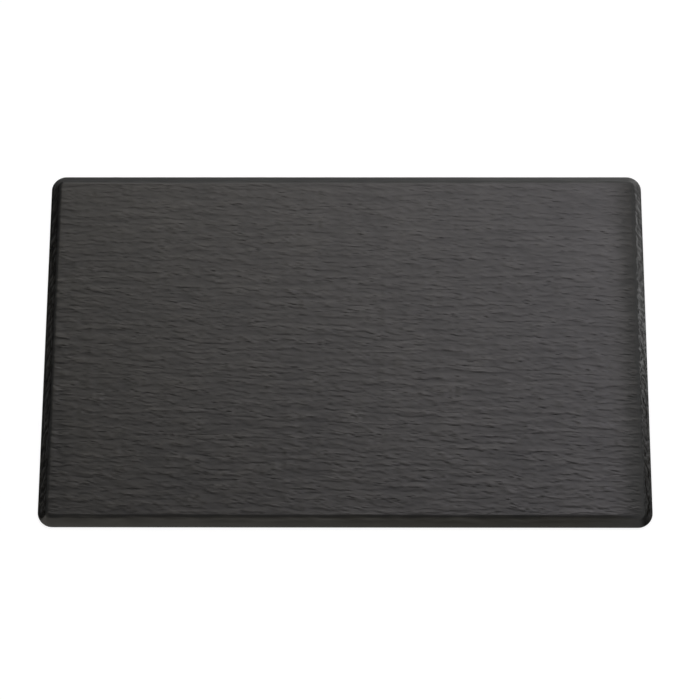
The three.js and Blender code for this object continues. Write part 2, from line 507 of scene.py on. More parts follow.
class NodeSheet:
    """A node tree with short calls that place nodes and join them."""

    def __init__(self, tree: bpy.types.NodeTree) -> None:
        """Takes over a node tree and empties it."""
        self.tree = tree
        tree.nodes.clear()

    def add(self, kind: str, settings: dict | None = None, **sockets: object) -> bpy.types.Node:
        """Places a node.

        Args:
            kind: Blender's name of the node type.
            settings: Properties of the node.
            sockets: Values or output sockets for the inputs, by input name with _ for spaces.

        Returns:
            The node.
        """
        node = self.tree.nodes.new(kind)
        for name, value in (settings or {}).items():
            setattr(node, name, value)
        for name, value in sockets.items():
            self.feed(node.inputs[name.replace("_", " ")], value)
        return node

    def feed(self, socket: bpy.types.NodeSocket, value: object) -> None:
        """Joins an output to an input, or sets the input's own value.

        Args:
            socket: The input.
            value: Output socket or plain value.
        """
        if isinstance(value, bpy.types.NodeSocket):
            self.tree.links.new(value, socket)
        else:
            socket.default_value = value

    def wire(self, kind: str, *inputs: object, **settings: object) -> bpy.types.NodeSocket:
        """Places a node whose inputs are given in their order.

        Args:
            kind: Blender's name of the node type.
            inputs: Values or output sockets.
            settings: Properties of the node.

        Returns:
            The socket of the node's first output.
        """
        node = self.add(kind, settings)
        for socket, value in zip(node.inputs, inputs):
            self.feed(socket, value)
        return node.outputs[0]

    def math(self, operation: str, first: object, second: object = 0.0) -> bpy.types.NodeSocket:
        """Arithmetic on two values or output sockets, by Blender's name of the operation."""
        return self.wire("ShaderNodeMath", first, second, operation=operation)

    def span(self, value: object, source: Pair, target: Pair) -> bpy.types.NodeSocket:
        """Maps a value or an output socket from one range to another, held at the ends."""
        return self.wire("ShaderNodeMapRange", value, *source, *target, clamp=True)

    def ramp(self, value: object, stops: list[tuple[float, Triple]]) -> bpy.types.NodeSocket:
        """Colour ramp.

        Args:
            value: Value or output socket.
            stops: Places from 0 to 1, each with its linear colour.

        Returns:
            The colour's socket.
        """
        node = self.add("ShaderNodeValToRGB")
        self.feed(node.inputs["Fac"], value)
        elements = node.color_ramp.elements
        while len(elements) < len(stops):
            elements.new(0.5)
        for element, (place, colour) in zip(elements, stops):
            element.position = place
            element.color = (*colour, 1.0)
        return node.outputs["Color"]


def moulded_grain() -> bpy.types.NodeTree:
    """Node group for the fine skin of a moulded surface, which all three finishes use.

    It adds a fine and a coarse noise on Object coordinates stretched by an input, and picks out the highest
    peaks of a third noise as specks.

    Returns:
        The group, with inputs Size, Lean, Stretch and Speck Share and outputs Grain and Specks.
    """
    name = "moulded_grain"
    fine_share, coarse_share = 0.65, 0.35
    coarse_size, speck_size = 0.23, 0.4  # noise scales per scale of the fine noise
    speck_edge = 0.04
    if name in bpy.data.node_groups:
        return bpy.data.node_groups[name]
    tree = bpy.data.node_groups.new(name, "ShaderNodeTree")
    for socket, kind in (("Size", "NodeSocketFloat"), ("Lean", "NodeSocketFloat"),
                         ("Stretch", "NodeSocketVector"), ("Speck Share", "NodeSocketFloat")):
        tree.interface.new_socket(socket, in_out="INPUT", socket_type=kind)
    for socket in ("Grain", "Specks"):
        tree.interface.new_socket(socket, in_out="OUTPUT", socket_type="NodeSocketFloat")
    sheet = NodeSheet(tree)
    given = sheet.add("NodeGroupInput")
    place = sheet.add("ShaderNodeTexCoord").outputs["Object"]
    turned = sheet.add("ShaderNodeVectorRotate", {"rotation_type": "Z_AXIS"}, Vector=place,
                       Angle=given.outputs["Lean"])
    stretched = sheet.wire("ShaderNodeVectorMath", turned.outputs[0], given.outputs["Stretch"],
                           operation="MULTIPLY")
    scale = sheet.math("DIVIDE", 1.0, given.outputs["Size"])
    fine = sheet.add("ShaderNodeTexNoise", Vector=stretched, Scale=scale, Detail=3.0, Roughness=0.6)
    coarse_scale = sheet.math("MULTIPLY", scale, coarse_size)
    coarse = sheet.add("ShaderNodeTexNoise", Vector=stretched, Scale=coarse_scale, Detail=2.0)
    grain = sheet.math("ADD", sheet.math("MULTIPLY", fine.outputs[0], fine_share),
                       sheet.math("MULTIPLY", coarse.outputs[0], coarse_share))
    speck_scale = sheet.math("MULTIPLY", scale, speck_size)
    peaks = sheet.add("ShaderNodeTexNoise", Vector=place, Scale=speck_scale, Detail=1.0)
    limit = sheet.math("SUBTRACT", 1.0, given.outputs["Speck Share"])
    over = sheet.math("SUBTRACT", peaks.outputs[0], limit)
    specks = sheet.span(over, (0.0, speck_edge), (0.0, 1.0))
    sheet.add("NodeGroupOutput", Grain=grain, Specks=specks)
    return tree


def place_grain(sheet: NodeSheet, size: float, speck_share: float, lean: float = 0.0,
                stretch: Triple = (1.0, 1.0, 1.0)) -> bpy.types.Node:
    """Places the moulded grain group in a material with its own values.

    Args:
        sheet: The material's node sheet.
        size: Grain size in metres.
        speck_share: How far down from the noise's peaks the specks reach, from 0 to 1.
        lean: Angle in plan that the grain falls by towards the front, to the right.
        stretch: Factors on x, y and z; below 1 draws the grain out.

    Returns:
        The group node.
    """
    return sheet.add("ShaderNodeGroup", {"node_tree": moulded_grain()}, Size=size, Lean=lean,
                     Stretch=stretch, Speck_Share=speck_share)


def new_material(name: str) -> tuple[bpy.types.Material, NodeSheet]:
    """Makes an empty node material.

    Args:
        name: Name of the material.

    Returns:
        The material and its node sheet.
    """
    material = bpy.data.materials.new(name)
    material.use_nodes = True
    return material, NodeSheet(material.node_tree)


def lay_skin(sheet: NodeSheet, grain: bpy.types.Node, height: float, **inputs: object) -> None:
    """Closes a material: the grain goes into the bump of a Principled shader, and that onto the surface.

    Args:
        sheet: The material's node sheet.
        grain: The material's grain node.
        height: Height of the grain in metres.
        inputs: Values or output sockets for the shader's inputs, by input name with _ for spaces.
    """
    bump = sheet.add("ShaderNodeBump", Height=grain.outputs["Grain"], Strength=1.0, Distance=height)
    skin = sheet.add("ShaderNodeBsdfPrincipled", Normal=bump.outputs[0], **inputs)
    sheet.add("ShaderNodeOutputMaterial", Surface=skin.outputs[0])


@dataclass(frozen=True)
class MelamineFinish:
    """Satin charcoal melamine, paler on crests as painted highlight, darker in strokes and grooves as painted
    shade, duller in strokes, and smoother on the chips.
    """

    # painted shade in grooves and strokes and painted highlight on crests, picked by the relief
    groove_painted_shade: Triple = (0.0026, 0.0024, 0.0019)
    stroke_painted_shade: Triple = (0.0060, 0.0055, 0.0044)
    crest_painted_highlight: Triple = (0.0146, 0.0133, 0.0110)
    roughness: Pair = (0.42, 0.33)  # in the strokes, on the crests
    chip_roughness: float = 0.25  # on the short ends' bevels
    chip_start: Pair = (255.5 * MM, 258.0 * MM)  # from the middle to where the chips set in
    refraction: float = 1.56
    grain_size: float = 1.0 * MM
    grain_stretch: Triple = (0.3, 1.0, 1.0)
    grain_lean: float = 0.065
    grain_height: float = 0.045 * MM
    cloud_size: float = 36.0 * MM
    speck_share: float = 0.33
    tone_shares: Triple = (0.75, 0.25, 0.2)  # of the relief, the grain and the specks
    cloud_reach: float = 0.2  # how far the clouds move the tone
    tone_stops: Triple = (0.1, 0.3, 0.95)  # tones of groove, stroke and crest
    rough_tones: Pair = (0.15, 0.95)

    def material(self) -> bpy.types.Material:
        """Colour follows the riven relief as painted shade in strokes and painted highlight on crests, and
        roughness follows it too, with clouding and specks; grain goes into the bump.

        Returns:
            The material.
        """
        material, sheet = new_material("charcoal_melamine")
        riven = sheet.add("ShaderNodeAttribute", {"attribute_name": "riven"}).outputs["Fac"]
        grain = place_grain(sheet, self.grain_size, self.speck_share, self.grain_lean, self.grain_stretch)
        place = sheet.add("ShaderNodeTexCoord").outputs["Object"]
        cloud = sheet.add("ShaderNodeTexNoise", Vector=place, Scale=1.0 / self.cloud_size, Detail=3.0)
        layers = (riven, grain.outputs["Grain"], grain.outputs["Specks"])
        tone = sheet.span(cloud.outputs[0], NOISE_RANGE, (-self.cloud_reach, self.cloud_reach))
        # the relief's share darkens the tone in strokes as painted shade and lightens it on crests and chips
        # as painted highlight
        for layer, share in zip(layers, self.tone_shares):
            tone = sheet.math("ADD", tone, sheet.math("MULTIPLY", layer, share))
        colours = (self.groove_painted_shade, self.stroke_painted_shade, self.crest_painted_highlight)
        colour = sheet.ramp(tone, list(zip(self.tone_stops, colours)))
        rough = sheet.span(tone, self.rough_tones, self.roughness)
        out = sheet.math("ABSOLUTE", sheet.add("ShaderNodeSeparateXYZ", Vector=place).outputs["X"])
        chipped = sheet.span(out, self.chip_start, (0.0, 1.0))
        smoother = sheet.math("MULTIPLY", chipped, sheet.math("SUBTRACT", rough, self.chip_roughness))
        rough = sheet.math("SUBTRACT", rough, smoother)
        lay_skin(sheet, grain, self.grain_height, Base_Color=colour, Roughness=rough, IOR=self.refraction)
        return material


@dataclass(frozen=True)
class SpeckledFinish:
    """Plain material with a fine grain and paler specks."""

    name: str
    colour: Triple
    speck_colour: Triple
    roughness: Pair
    refraction: float
    grain_size: float
    grain_height: float
    speck_share: float
    sheen: float = 0.0

    def material(self) -> bpy.types.Material:
        """Grain drives the roughness and the bump, and the specks carry their own colour.

        Returns:
            The material.
        """
        material, sheet = new_material(self.name)
        grain = place_grain(sheet, self.grain_size, self.speck_share)
        colour = sheet.ramp(grain.outputs["Specks"], [(0.0, self.colour), (1.0, self.speck_colour)])
        rough = sheet.span(grain.outputs["Grain"], NOISE_RANGE, self.roughness)
        lay_skin(sheet, grain, self.grain_height, Base_Color=colour, Roughness=rough, IOR=self.refraction,
                 Sheen_Weight=self.sheen)
        return material


@dataclass(frozen=True)
class SiliconeFinish(SpeckledFinish):
    """Matt dark silicone, with a trace of pale dust for specks."""

    name: str = "matt_silicone"
    colour: Triple = (0.018, 0.018, 0.019)
    speck_colour: Triple = (0.05, 0.049, 0.047)
    roughness: Pair = (0.62, 0.82)
    refraction: float = 1.41
    grain_size: float = 0.22 * MM
    grain_height: float = 0.02 * MM
    speck_share: float = 0.3
    sheen: float = 0.1


@dataclass(frozen=True)
class AdhesiveFinish(SpeckledFinish):
    """Cloudy double-sided adhesive, with small trapped bubbles for specks."""

    name: str = "cloudy_adhesive"
    colour: Triple = (0.56, 0.52, 0.44)
    speck_colour: Triple = (0.70, 0.67, 0.60)
    roughness: Pair = (0.35, 0.55)
    refraction: float = 1.47
    grain_size: float = 0.4 * MM
    grain_height: float = 0.03 * MM
    speck_share: float = 0.4


@dataclass
class AntiSlipFoot:
    """Silicone disc that stands in one of the tray's bosses, with the adhesive disc above it."""

    row: FootRow
    column: FootColumn
    sole_edge_radius: float = 0.7 * MM
    top_edge_radius: float = 0.25 * MM
    taper: float = 0.2 * MM  # the sides draw in by this much from top to sole
    bead: float = 0.12 * MM  # parting line of the mould, below the widest part
    bead_place: float = 0.62  # share of the foot's height
    bead_rounding: float = 0.4  # radius on the bead's crest, per bead
    inner_ring: float = 0.5  # share of the radius where the sole and the top close on their middles
    sole_steps: int = 8
    bead_steps: int = 3
    segments: int = 72

    @property
    def label(self) -> str:
        """Row and column as the frame's node names have them."""
        return f"{self.row.value}_{self.column.value}"

    @property
    def box(self) -> tuple[Vector, Vector]:
        """Lowest and highest corner of the foot's node."""
        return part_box(f"foot_{self.label}")

    @property
    def centre(self) -> np.ndarray:
        """The foot's axis in plan."""
        low, high = self.box
        return np.array([(low.x + high.x) / 2.0, (low.y + high.y) / 2.0])

    @property
    def radius(self) -> float:
        """Radius of the foot where it is widest, from its node's Y extent."""
        low, high = self.box
        return (high.y - low.y) / 2.0

    @property
    def adhesive_top(self) -> float:
        """Height of the adhesive disc's upper face, which is the floor of the seat."""
        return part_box(f"foot_adhesive_{self.label}")[1].z

    def section(self) -> np.ndarray:
        """Half section from the sole over its rounded edge, the side and the parting bead to the top.

        Returns:
            Rows of (radius, z), without the two ends on the axis.
        """
        low, high = self.box
        sole = self.radius - self.taper
        bead_z = low.z + self.bead_place * (high.z - low.z)
        bead_radius = sole + self.bead_place * self.taper - 0.5 * self.bead
        line = rounded_section([
            Corner(0.0, low.z),
            Corner(sole, low.z, self.sole_edge_radius, self.sole_steps),
            Corner(bead_radius, bead_z - self.bead),
            Corner(bead_radius + self.bead, bead_z, self.bead_rounding * self.bead, self.bead_steps),
            Corner(bead_radius, bead_z + self.bead),
            Corner(self.radius, high.z, self.top_edge_radius),
            Corner(0.0, high.z),
        ])
        inner = self.inner_ring * self.radius
        return np.concatenate([[[inner, low.z]], line[1:-1], [[inner, high.z]]])

    def build(self, finish: bpy.types.Material) -> bpy.types.Object:
        """Turns the section round the foot's axis and closes both ends.

        Args:
            finish: Material of the foot.

        Returns:
            The foot, riding with the tray in place of its node.
        """
        skin = Skin()
        turns = np.linspace(0.0, 2.0 * math.pi, self.segments, endpoint=False)
        rings = [skin.add(circle(self.centre, radius, z, turns), PLAIN_RELIEF)
                 for radius, z in self.section()[::-1]]
        for ring, onward in zip(rings[:-1], rings[1:]):
            skin.band(ring, onward)
        low, high = self.box
        skin.close(rings[-1], np.array([*self.centre, low.z]))
        skin.close(rings[0][::-1], np.array([*self.centre, high.z]))
        piece = skin.piece(f"silicone_foot_{self.label}")
        piece.data.materials.append(finish)
        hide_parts(f"foot_{self.label}")
        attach(piece, BODY)
        return piece

    def dress_adhesive(self, finish: bpy.types.Material) -> bpy.types.Object:
        """Gives the adhesive disc's own node its finish.

        Args:
            finish: Material of the disc.

        Returns:
            The node's object.
        """
        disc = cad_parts[f"foot_adhesive_{self.label}"]
        disc.data.materials.clear()
        disc.data.materials.append(finish)
        return disc


@dataclass
class TrayShell:
    """Moulded shell: riven face, rounded bevel, rim, drafted inner wall, ceiling and six foot bosses."""

    feet: list[AntiSlipFoot]
    corner_radius: float = 13.0 * MM
    bevel_run: float = 7.5 * MM
    land_height: float = 1.5 * MM
    plate_thickness: float = 4.0 * MM
    wall_thickness: float = 4.0 * MM
    serving_edge_radius: float = 5.5 * MM  # on the long sides
    end_edge_radius: float = 7.0 * MM
    land_edge_radius: float = 0.8 * MM
    rim_edge_radius: float = 0.4 * MM
    ceiling_fillet: float = 2.0 * MM
    seat_clearance: float = 0.4 * MM
    seat_depth: float = 0.8 * MM
    boss_wall: float = 3.0 * MM
    boss_draft: float = 1.0 * MM
    boss_fillet: float = 1.2 * MM
    boss_edge_radius: float = 0.35 * MM
    columns: int = 156  # face cells along the tray
    rows: int = 360  # face cells across it, between the corner arcs
    corner_rows: int = 12  # face cells over each corner arc
    rounding_steps: int = 9
    bevel_cells: int = 11  # from the rounding down to the land's edge
    sparse_columns: int = 12  # cells along the underside, in three equal parts
    sparse_rows: int = 30
    line_cells: int = 12  # cells on the lines that part the ceiling
    boss_segments: int = 64
    edge_steps: int = 3  # steps of the arcs on edges
    fillet_steps: int = 5
    seat_steps: int = 2
    seat_fillet: float = 0.175 * MM
    land_gap: float = 0.15 * MM  # from the dense rings down to the thinned ones
    ceiling_margin: float = 1.1  # flat beside the ceiling's fillet, per fillet
    boss_margin: float = 1.6  # flat beside a boss's fillet, per fillet
    seat_middle: float = 0.4  # share of a seat's radius where its floor closes on its middle
    stroke_fade: Pair = (0.08, 0.42)  # these pairs are shares of the way down the edge
    lump_rise: Pair = (0.12, 0.42)
    lump_fade: Pair = (0.8, 1.0)
    wave_rise: Pair = (0.02, 0.25)
    wave_fade: Pair = (0.35, 0.75)
    tone_fade: Pair = (0.03, 0.2)  # strokes' tone on the ends
    # painted highlight and shade of the chips on the short ends' bevels
    chip_highlight_rise: Pair = (0.25, 0.5)
    chip_highlight_range: Pair = (0.3, 0.85)  # strand heights of the darkest and the palest chips

    def __post_init__(self) -> None:
        """Works out the shell's levels and reaches from its node's box."""
        low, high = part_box("tray_body")
        self.half = np.array([(high.x - low.x) / 2.0, (high.y - low.y) / 2.0])
        self.rim_z, self.top_z = low.z, high.z
        self.bevel_foot_z = self.rim_z + self.land_height
        self.ceiling_z = self.top_z - self.plate_thickness
        slope = math.atan2(self.top_z - self.bevel_foot_z, self.bevel_run)
        self.side_inset = self.bevel_run + self.serving_edge_radius * math.tan(slope / 2.0)
        self.end_inset = self.bevel_run + self.end_edge_radius * math.tan(slope / 2.0)
        self.all_rows = self.rows + 2 * self.corner_rows

    def face_radius(self, turn: np.ndarray) -> np.ndarray:
        """Corner radius of the flat face where the outline faces a bearing.

        It is the tray's corner radius less the edge's inset, which grows from the long sides to the short
        ends with the square of the bearing's cosine.

        Args:
            turn: Bearings, 0 on the right end and -90 or 90 degrees on the front and back.

        Returns:
            The radius at each bearing.
        """
        return self.corner_radius - self.side_inset - (self.end_inset - self.side_inset) * np.cos(turn) ** 2

    def face_plan(self) -> tuple[np.ndarray, np.ndarray, np.ndarray]:
        """Grid over the flat of the serving face: a rectangle of rows whose ends follow the corner arcs.

        A row's height is a core line plus the face's corner radius times the sine of the row's turn, and its
        half length is the core's half length plus the radius times the cosine.

        Returns:
            Grids of x and y, and the turn of each row, from -90 degrees at the front to 90 at the back.
        """
        core = self.half - self.corner_radius
        rise = np.linspace(0.0, math.pi / 2.0, self.corner_rows + 1)
        turn = np.concatenate([-rise[::-1], np.zeros(self.rows - 1), rise])
        radius = self.face_radius(turn)
        line = np.linspace(-core[1], core[1], self.rows + 1)
        core_y = np.pad(line, self.corner_rows, mode="edge")
        share = np.linspace(-1.0, 1.0, self.columns + 1)
        x = np.outer(core[0] + radius * np.cos(turn), share)
        y = np.repeat((core_y + radius * np.sin(turn))[:, None], self.columns + 1, axis=1)
        return x, y, turn

    def border(self) -> tuple[np.ndarray, np.ndarray]:
        """Walks round the face grid's border, anticlockwise from above, from the front left.

        Returns:
            Rows and columns of the border's points.
        """
        along, across = np.arange(self.columns), np.arange(self.all_rows)
        rows = [np.zeros_like(along), across, np.full_like(along, self.all_rows), self.all_rows - across]
        columns = [along, np.full_like(across, self.columns), self.columns - along, np.zeros_like(across)]
        return np.concatenate(rows), np.concatenate(columns)

    def border_picks(self) -> np.ndarray:
        """Thins the border for the underside to every corner step and a few points on the straight sides.

        Returns:
            Places of the points to keep, in the border's order.
        """
        along = np.arange(0, self.columns, self.columns // self.sparse_columns)
        middle = np.arange(self.corner_rows, self.corner_rows + self.rows, self.rows // self.sparse_rows)
        across = np.concatenate([np.arange(self.corner_rows), middle,
                                 np.arange(self.corner_rows + self.rows, self.all_rows)])
        side = self.columns + self.all_rows
        return np.concatenate([along, self.columns + across, side + along, side + self.columns + across])

    def upper_section(self, radius: float) -> np.ndarray:
        """Rounding, bevel and land edge, from the face's border down to the upright land.

        Args:
            radius: Radius of the rounding between the face and the bevel.

        Returns:
            Rows of inset, z, the outward normal's outward and upward parts, and the share of the way down.
        """
        line = rounded_section([
            Corner(2.0 * self.end_inset, self.top_z),
            Corner(self.bevel_run, self.top_z, radius, self.rounding_steps),
            Corner(0.0, self.bevel_foot_z, self.land_edge_radius, self.edge_steps),
            Corner(0.0, self.rim_z),
        ])[1:-1]
        rounding, land = np.split(line, [self.rounding_steps + 1])
        share = np.linspace(0.0, 1.0, self.bevel_cells + 1)[1:-1, None]
        line = np.concatenate([rounding, rounding[-1] + share * (land[0] - rounding[-1]), land])
        run = np.concatenate([[0.0], np.cumsum(np.linalg.norm(np.diff(line, axis=0), axis=1))])
        tangent = np.gradient(line, run, axis=0)
        return np.column_stack([line, -tangent[:, 1], -tangent[:, 0], run / run[-1]])

    def lower_section(self, land_top: float) -> np.ndarray:
        """Land, rim, inner wall and ceiling edge as (inset, z), below the height where the land starts.

        The inner wall runs parallel to the bevel, a wall's thickness behind it.

        Args:
            land_top: Height of the land's upper end.

        Returns:
            Rows of (inset, z).
        """
        drop = self.top_z - self.bevel_foot_z
        shift = self.wall_thickness * math.hypot(self.bevel_run, drop) / drop
        foot_inset = self.bevel_run * (self.rim_z - self.bevel_foot_z) / drop + shift
        ceiling_inset = self.bevel_run * (self.ceiling_z - self.bevel_foot_z) / drop + shift
        return rounded_section([
            Corner(0.0, land_top - self.land_gap),
            Corner(0.0, self.rim_z, self.rim_edge_radius, self.edge_steps),
            Corner(foot_inset, self.rim_z, self.rim_edge_radius, self.edge_steps),
            Corner(ceiling_inset, self.ceiling_z, self.ceiling_fillet, self.fillet_steps),
            Corner(ceiling_inset + self.ceiling_margin * self.ceiling_fillet, self.ceiling_z),
        ])

    def boss_section(self, foot: AntiSlipFoot) -> np.ndarray:
        """Boss and seat as (radius, z), from the ceiling down the side, over the face and into the recess.

        Args:
            foot: The foot that stands in the seat.

        Returns:
            Rows of (radius, z), down to the recess floor's inner part.
        """
        seat_radius = foot.radius + self.seat_clearance
        seat_z = foot.adhesive_top
        boss_z = seat_z - self.seat_depth
        face_radius = seat_radius + self.boss_wall
        root_radius = face_radius + self.boss_draft
        return rounded_section([
            Corner(root_radius + self.boss_margin * self.boss_fillet, self.ceiling_z),
            Corner(root_radius, self.ceiling_z, self.boss_fillet, self.fillet_steps),
            Corner(face_radius, boss_z, self.boss_edge_radius, self.edge_steps),
            Corner(seat_radius, boss_z, self.boss_edge_radius, self.edge_steps),
            Corner(seat_radius, seat_z, self.seat_fillet, self.seat_steps),
            Corner(self.seat_middle * seat_radius, seat_z),
        ])

    def carry_edge(self, skin: Skin, ring: np.ndarray, core: np.ndarray, outward: np.ndarray,
                   relief: RivenRelief) -> np.ndarray:
        """Carries the upper section round the face's border, with the relief square to the surface.

        A ring's points are the core's points moved outwards by the corner radius less the inset, and the
        section goes over from the long sides' to the short ends' with the square of the outward direction's
        x. The relief is the face's strokes, fading over the rounding, plus chipped strands on the short ends
        and slow waves all round.

        Args:
            skin: Skin to add to.
            ring: Indices of the face's border.
            core: For each border point, the x and y that its corner radius is measured from.
            outward: The border's outward directions in plan.
            relief: The riven relief.

        Returns:
            Indices of the last ring, at the top of the land.
        """
        side, end = self.upper_section(self.serving_edge_radius), self.upper_section(self.end_edge_radius)
        ends = outward[:, 0] ** 2
        for side_row, end_row in zip(side[1:], end[1:]):
            inset, z, normal_out, normal_up, part = side_row[:, None] + ends * (end_row - side_row)[:, None]
            place = core + outward * (self.corner_radius - inset)[:, None]
            x, y = place.T
            strokes, lumps, waves = relief.strokes(x, y), relief.lumps(x, y), relief.waves(x, y)
            lost = 1.0 - relief.side_strokes * (1.0 - ends)
            stroke_share = 1.0 - smooth_step(*self.stroke_fade, part) * lost
            lump_share = smooth_step(*self.lump_rise, part) * (1.0 - smooth_step(*self.lump_fade, part))
            wave_share = smooth_step(*self.wave_rise, part) * (1.0 - smooth_step(*self.wave_fade, part))
            cut = stroke_share * relief.depth * (1.0 - strokes)
            cut += lump_share * ends**2 * relief.lump_cut(x, y, lumps)
            cut += wave_share * relief.wave_depth * (1.0 - waves)
            place = place - outward * (cut * normal_out)[:, None]
            # the chips' tone is painted highlight on the strands' higher parts and painted shade on their
            # lower parts
            dark, pale = self.chip_highlight_range
            chips = np.clip((lumps - dark) / (pale - dark), 0.0, 1.0) * smooth_step(*self.chip_highlight_rise, part)
            side_value = stroke_share * strokes + (1.0 - stroke_share) * PLAIN_RELIEF
            end_value = (1.0 - smooth_step(*self.tone_fade, part)) * strokes + chips
            value = side_value + ends * (end_value - side_value)
            onward = skin.add(np.column_stack([place, z - cut * normal_up]), value)
            skin.band(ring, onward)
            ring = onward
        return ring

    def carry_underside(self, skin: Skin, dense: np.ndarray, core: np.ndarray, outward: np.ndarray,
                        land_top: float) -> np.ndarray:
        """Carries the lower section round a thinned border, from the land to the ceiling.

        Args:
            skin: Skin to add to.
            dense: Indices of the dense ring at the top of the land.
            core: For each border point, the x and y that its corner radius is measured from.
            outward: The border's outward directions in plan.
            land_top: Height of that ring.

        Returns:
            Indices of the ceiling's border ring.
        """
        picks = self.border_picks()
        rings = [np.column_stack([core[picks] + outward[picks] * (self.corner_radius - inset),
                                  np.full(len(picks), z)]) for inset, z in self.lower_section(land_top)]
        return skin.carry(dense, np.arange(len(dense)), rings, picks, len(dense))

    def ceiling_line(self, skin: Skin, first: int, last: int) -> np.ndarray:
        """Straight run of new points between two points of the skin.

        Args:
            skin: Skin to add to.
            first: Index of the point that the line starts from.
            last: Index of the point that it ends on.

        Returns:
            Indices of the line's points, both ends included.
        """
        share = np.linspace(0.0, 1.0, self.line_cells + 1)[1:-1, None]
        ends = skin.places(np.array([first, last]))
        inner = skin.add(ends[0] + share * (ends[1] - ends[0]), PLAIN_RELIEF)
        return np.concatenate([[first], inner, [last]])

    def ceiling_cells(self, skin: Skin, ring: np.ndarray) -> dict[str, np.ndarray]:
        """Parts the ceiling into six cells, one round each foot, by a line along and two lines across.

        Args:
            skin: Skin to add the lines' points to.
            ring: Indices of the ceiling's border, anticlockwise from the front left.

        Returns:
            Closed loops of indices by the feet's labels, anticlockwise from above.
        """
        third = self.sparse_columns // 3
        side = self.sparse_rows + 2 * self.corner_rows
        right, back, left = self.sparse_columns, self.sparse_columns + side, 2 * self.sparse_columns + side
        mid_right, mid_left = right + side // 2, left + side // 2
        corner_x = skin.places(ring[[third, 2 * third]])[:, 0]
        cross = skin.add(np.array([[x, 0.0, self.ceiling_z] for x in corner_x]), PLAIN_RELIEF)
        ends = [(ring[mid_left], cross[0]), (cross[0], cross[1]), (cross[1], ring[mid_right]),
                (ring[third], cross[0]), (ring[2 * third], cross[1]),
                (cross[1], ring[back + third]), (cross[0], ring[back + 2 * third])]
        lines = [self.ceiling_line(skin, *pair) for pair in ends]
        middle_left, middle, middle_right, front_left, front_right, back_right, back_left = lines
        wrapped = np.concatenate([ring, ring])
        loops = {
            "front_left": [wrapped[mid_left:len(ring) + third + 1], front_left, middle_left[::-1]],
            "front_middle": [ring[third:2 * third + 1], front_right, middle[::-1], front_left[::-1]],
            "front_right": [ring[2 * third:mid_right + 1], middle_right[::-1], front_right[::-1]],
            "back_right": [ring[mid_right:back + third + 1], back_right[::-1], middle_right],
            "back_middle": [ring[back + third:back + 2 * third + 1], back_left[::-1], middle, back_right],
            "back_left": [ring[back + 2 * third:mid_left + 1], middle_left, back_left],
        }
        return {label: np.concatenate([run[:-1] for run in runs]) for label, runs in loops.items()}

    def carry_boss(self, skin: Skin, loop: np.ndarray, foot: AntiSlipFoot) -> None:
        """Draws a ceiling cell in to a circle, then carries the boss section round and closes the seat.

        Args:
            skin: Skin to add to.
            loop: Indices of the cell's border, anticlockwise from above.
            foot: The foot that stands in the boss.
        """
        offset = skin.places(loop)[:, :2] - foot.centre
        bearing = np.unwrap(np.arctan2(offset[:, 1], offset[:, 0]))
        turns = bearing[0] + np.linspace(0.0, 2.0 * math.pi, self.boss_segments, endpoint=False)
        section = self.boss_section(foot)
        rings = [circle(foot.centre, radius, z, turns) for radius, z in section]
        seat = skin.carry(loop, bearing, rings, turns, 2.0 * math.pi)
        skin.close(seat, np.array([*foot.centre, section[-1, 1]]))

    def build(self, relief: RivenRelief, finish: bpy.types.Material) -> bpy.types.Object:
        """Builds the whole shell as one closed skin: face, edge, underside, ceiling cells and bosses.

        Args:
            relief: The riven relief.
            finish: Material of the shell.

        Returns:
            The shell, riding in place of the tray's node.
        """
        skin = Skin()
        x, y, turn = self.face_plan()
        strokes = relief.strokes(x, y)
        z = self.top_z - relief.depth * (1.0 - strokes)
        normals = relief.normals(x, y)
        normals[[0, -1]] = 0.0
        normals[:, [0, -1]] = 0.0
        points = np.stack([x.ravel(), y.ravel(), z.ravel()], axis=1)
        # the strokes' height also carries the tone's painted shade in strokes and painted highlight on crests
        face = skin.add(points, strokes.ravel(), normals.reshape(-1, 3)).reshape(x.shape)
        skin.sheet(face)
        rows, columns = self.border()
        plan = np.stack([x[rows, columns], y[rows, columns]], axis=1)
        outward = np.stack([np.sign(plan[:, 0]) * np.cos(turn[rows]), np.sin(turn[rows])], axis=1)
        core = plan - outward * self.face_radius(turn[rows])[:, None]
        land = self.carry_edge(skin, face[rows, columns], core, outward, relief)
        land_top = float(skin.places(land[:1])[0, 2])
        ceiling = self.carry_underside(skin, land, core, outward, land_top)
        cells = self.ceiling_cells(skin, ceiling)
        for foot in self.feet:
            self.carry_boss(skin, cells[foot.label], foot)
        piece = skin.piece("slate_look_shell")
        piece.data.materials.append(finish)
        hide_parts("tray_body")
        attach(piece, BODY)
        return piece


def stage_card(name: str, corners: list[Triple]) -> tuple[bpy.types.Object, NodeSheet]:
    """Puts a flat four-cornered card in the scene.

    Args:
        name: Name of the card and its material.
        corners: Its corners, anticlockwise as seen from its front.

    Returns:
        The card, and its empty material's node sheet.
    """
    mesh = bpy.data.meshes.new(name)
    mesh.from_pydata(corners, [], [(0, 1, 2, 3)])
    material, sheet = new_material(name)
    mesh.materials.append(material)
    card = bpy.data.objects.new(name, mesh)
    bpy.context.scene.collection.objects.link(card)
    return card, sheet


def clear_behind(sheet: NodeSheet, front: bpy.types.NodeSocket) -> None:
    """Puts a shader on a card's front and leaves its back clear.

    Args:
        sheet: The card material's node sheet.
        front: The shader's socket.
    """
    behind = sheet.add("ShaderNodeNewGeometry").outputs["Backfacing"]
    clear = sheet.add("ShaderNodeBsdfTransparent").outputs[0]
    sheet.add("ShaderNodeOutputMaterial", Surface=sheet.wire("ShaderNodeMixShader", behind, front, clear))


